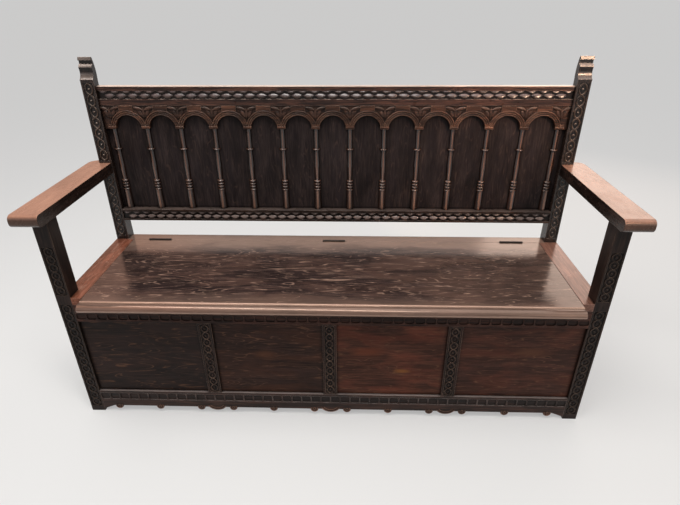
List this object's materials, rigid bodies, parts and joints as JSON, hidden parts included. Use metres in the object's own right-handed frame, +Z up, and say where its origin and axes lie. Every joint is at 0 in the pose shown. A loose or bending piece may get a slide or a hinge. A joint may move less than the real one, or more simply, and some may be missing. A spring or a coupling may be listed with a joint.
{
  "type": "settle bench",
  "caption": "Carved oak box settle: panelled chest base with a lifting seat lid, open arms, posts with scrolled tops, and a back with a round-arched arcade over split spindles.",
  "frame": {"origin": "on the floor, at the centre of the bounding box in plan", "axes": "+X along the bench, to the right as seen from the front, +Y from the front edge to the back, +Z up"},
  "size_m": [1.668, 0.4894, 1.074],
  "materials": {
    "oak_post": "dark stained oak, waxed, worn at the edges",
    "oak_arm": "dark stained oak, waxed, worn at the edges",
    "oak_crest": "dark stained oak, waxed, worn at the edges",
    "oak_arcade": "dark stained oak, waxed, worn at the edges",
    "oak_back_rail": "dark stained oak, waxed, worn at the edges",
    "oak_back_panel": "dark stained oak, waxed, worn at the edges",
    "oak_spindle": "dark stained oak, waxed, worn at the edges",
    "oak_lid": "dark stained oak, waxed, worn at the edges",
    "oak_seat_strip": "dark stained oak, waxed, worn at the edges",
    "oak_front_rail": "dark stained oak, waxed, worn at the edges",
    "oak_apron": "dark stained oak, waxed, worn at the edges",
    "oak_muntin": "dark stained oak, waxed, worn at the edges",
    "oak_front_panel": "dark stained oak, waxed, worn at the edges",
    "oak_side_rail": "dark stained oak, waxed, worn at the edges",
    "oak_side_panel": "dark stained oak, waxed, worn at the edges",
    "oak_inside": "dark stained oak, waxed, worn at the edges",
    "oak_peg": "dark stained oak, waxed, worn at the edges",
    "hinge_iron": "black iron, worn"
  },
  "bodies": {
    "frame": {"front_post_left": "oak_post", "front_post_right": "oak_post", "rear_post_left": "oak_post", "rear_post_right": "oak_post", "arm_left": "oak_arm", "arm_right": "oak_arm", "crest_rail": "oak_crest", "arcade_rail": "oak_arcade", "back_bottom_rail": "oak_back_rail", "back_panel": "oak_back_panel", "spindle_01": "oak_spindle", "spindle_02": "oak_spindle", "spindle_03": "oak_spindle", "spindle_04": "oak_spindle", "spindle_05": "oak_spindle", "spindle_06": "oak_spindle", "spindle_07": "oak_spindle", "spindle_08": "oak_spindle", "spindle_09": "oak_spindle", "spindle_10": "oak_spindle", "spindle_11": "oak_spindle", "spindle_12": "oak_spindle", "spindle_13": "oak_spindle", "spindle_14": "oak_spindle", "seat_end_strip_left": "oak_seat_strip", "seat_end_strip_right": "oak_seat_strip", "seat_back_strip": "oak_seat_strip", "front_top_rail": "oak_front_rail", "front_bottom_rail": "oak_apron", "front_muntin_1": "oak_muntin", "front_muntin_2": "oak_muntin", "front_muntin_3": "oak_muntin", "front_panel_1": "oak_front_panel", "front_panel_2": "oak_front_panel", "front_panel_3": "oak_front_panel", "front_panel_4": "oak_front_panel", "side_top_rail_left": "oak_side_rail", "side_top_rail_right": "oak_side_rail", "side_bottom_rail_left": "oak_side_rail", "side_bottom_rail_right": "oak_side_rail", "rear_top_rail": "oak_side_rail", "rear_bottom_rail": "oak_side_rail", "side_panel_left": "oak_side_panel", "side_panel_right": "oak_side_panel", "rear_panel": "oak_side_panel", "box_floor_front": "oak_inside", "box_floor_rear": "oak_inside", "joint_pegs": "oak_peg", "hinge_seat_leaf_left": "hinge_iron", "hinge_seat_leaf_middle": "hinge_iron", "hinge_seat_leaf_right": "hinge_iron", "hinge_pins": "hinge_iron", "hinge_screws_seat": "hinge_iron"},
    "lid": {"seat_lid": "oak_lid", "lid_batten_left": "oak_inside", "lid_batten_right": "oak_inside", "hinge_lid_leaf_left": "hinge_iron", "hinge_lid_leaf_middle": "hinge_iron", "hinge_lid_leaf_right": "hinge_iron", "hinge_screws_lid": "hinge_iron"}
  },
  "joints": [
    {"name": "lid_hinge", "type": "hinge", "parent": "frame", "child": "lid", "pos_m": [0, 0.19175, 0.456], "axis": [-1, 0, 0], "range_deg": [0, 92]}
  ]
}
